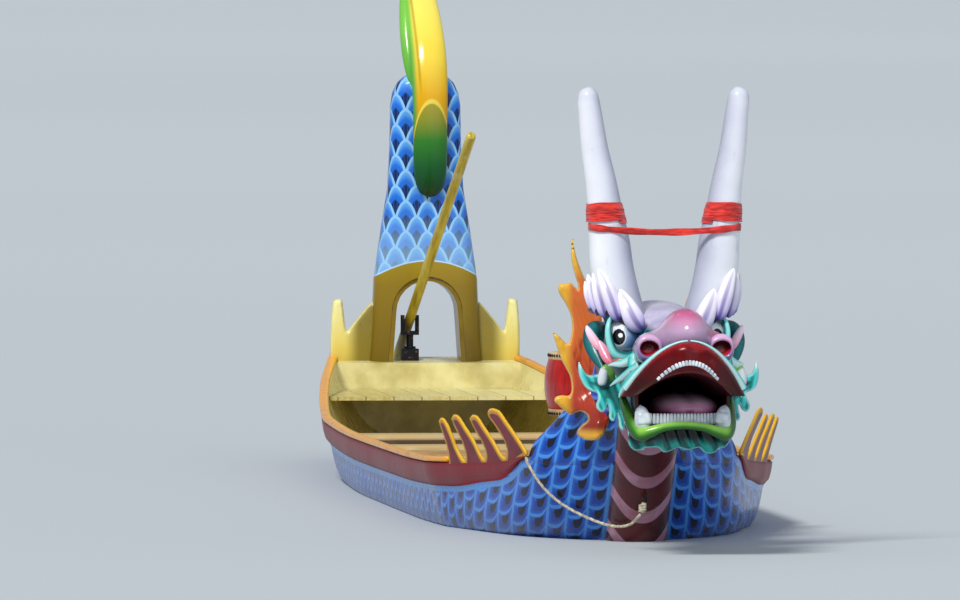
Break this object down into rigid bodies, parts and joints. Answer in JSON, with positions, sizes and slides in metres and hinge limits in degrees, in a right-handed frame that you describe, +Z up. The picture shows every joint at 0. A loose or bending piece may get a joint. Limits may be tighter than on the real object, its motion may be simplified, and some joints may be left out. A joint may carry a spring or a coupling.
{
  "type": "dragon boat",
  "caption": "Long open paddled festival boat afloat, with a carved dragon head and tail, benches, a drum and a steering oar on a swivel at the stern.",
  "frame": {"origin": "on the water's surface, on the centre line amidships", "axes": "+Z up, -Y towards the bow, +X to port"},
  "size_m": [1.64, 12.9195, 2.9598],
  "materials": {
    "hull_blue": "painted scales, satin gloss over fibreglass",
    "neck_blue": "painted scales, satin gloss over fibreglass",
    "tail_blue": "painted scales, satin gloss",
    "belly": "dark red gloss paint with mauve bands",
    "strake": "maroon paint",
    "prong": "maroon paint with gold edges",
    "cap": "orange-yellow paint",
    "lip": "deep red gloss paint",
    "lower_lip": "green gloss paint",
    "skull": "teal paint",
    "jaw": "dark teal paint",
    "beard": "teal paint",
    "teeth": "off-white paint",
    "tongue": "mauve paint",
    "nose": "crimson to pink paint",
    "cloth": "red cloth",
    "deck": "pale yellow paint",
    "floor": "worn boards",
    "bench": "varnished boards",
    "drum_stand": "red paint",
    "drum": "red lacquer",
    "drum_skin": "stretched hide with studs",
    "olive": "olive gold paint",
    "plume": "yellow to green paint",
    "stern_fin": "pale yellow paint",
    "oar": "yellow varnish",
    "iron": "dark galvanised steel",
    "rope": "laid rope",
    "eye": "white, blue and black gloss paint",
    "lid": "teal and aqua paint",
    "petal": "white to violet paint",
    "horn": "white to grey paint",
    "ear": "pink paint",
    "tusk": "white paint, green at the root",
    "tuft": "aqua paint",
    "side_fin": "orange to yellow paint"
  },
  "bodies": {
    "boat": {"hull_bow": "hull_blue", "hull_middle": "hull_blue", "hull_stern": "hull_blue", "neck": "neck_blue", "tail": "tail_blue", "belly_strip": "belly", "upper_lip": "lip", "lower_lip": "lower_lip", "skull": "skull", "lower_jaw": "jaw", "beard": "beard", "upper_teeth": "teeth", "lower_teeth": "teeth", "tongue": "tongue", "nose": "nose", "horn_ties": "cloth", "foredeck": "deck", "stern_deck": "deck", "floor_boards": "floor", "benches": "bench", "drummer_seat": "bench", "drum_stand": "drum_stand", "drum_barrel": "drum", "drum_skin_top": "drum_skin", "drum_skin_bottom": "drum_skin", "tail_arch_lining": "olive", "tail_plume": "plume", "oar_socket": "iron", "bow_eye": "iron", "bow_rope": "rope", "rope_knot": "rope", "sheer_strake_starboard": "strake", "sheer_strake_port": "strake", "prong_plate_starboard": "prong", "prong_plate_port": "prong", "gunwale_cap_starboard": "cap", "gunwale_cap_port": "cap", "stern_fin_starboard": "stern_fin", "stern_fin_port": "stern_fin", "eye_starboard": "eye", "eye_port": "eye", "lid_starboard": "lid", "lid_port": "lid", "brow_starboard": "petal", "brow_port": "petal", "horn_starboard": "horn", "horn_port": "horn", "ear_starboard": "ear", "ear_port": "ear", "tusk_starboard": "tusk", "tusk_port": "tusk", "cheek_tuft_starboard": "tuft", "cheek_tuft_port": "tuft", "jaw_frill_starboard": "beard", "jaw_frill_port": "beard", "side_fin_starboard": "side_fin", "side_fin_port": "side_fin"},
    "oar_lock": {"oar_lock": "iron"},
    "steering_oar": {"steering_oar": "oar"}
  },
  "joints": [
    {"name": "oar_yaw", "type": "hinge", "parent": "boat", "child": "oar_lock", "pos_m": [-0.078, 5.33, 0.55], "axis": [0, 0, 1], "range_deg": [-22, 15]},
    {"name": "oar_pitch", "type": "hinge", "parent": "oar_lock", "child": "steering_oar", "pos_m": [-0.078, 5.33, 0.705], "axis": [0.9943, 0.1069, 0], "range_deg": [-3, 24]}
  ]
}
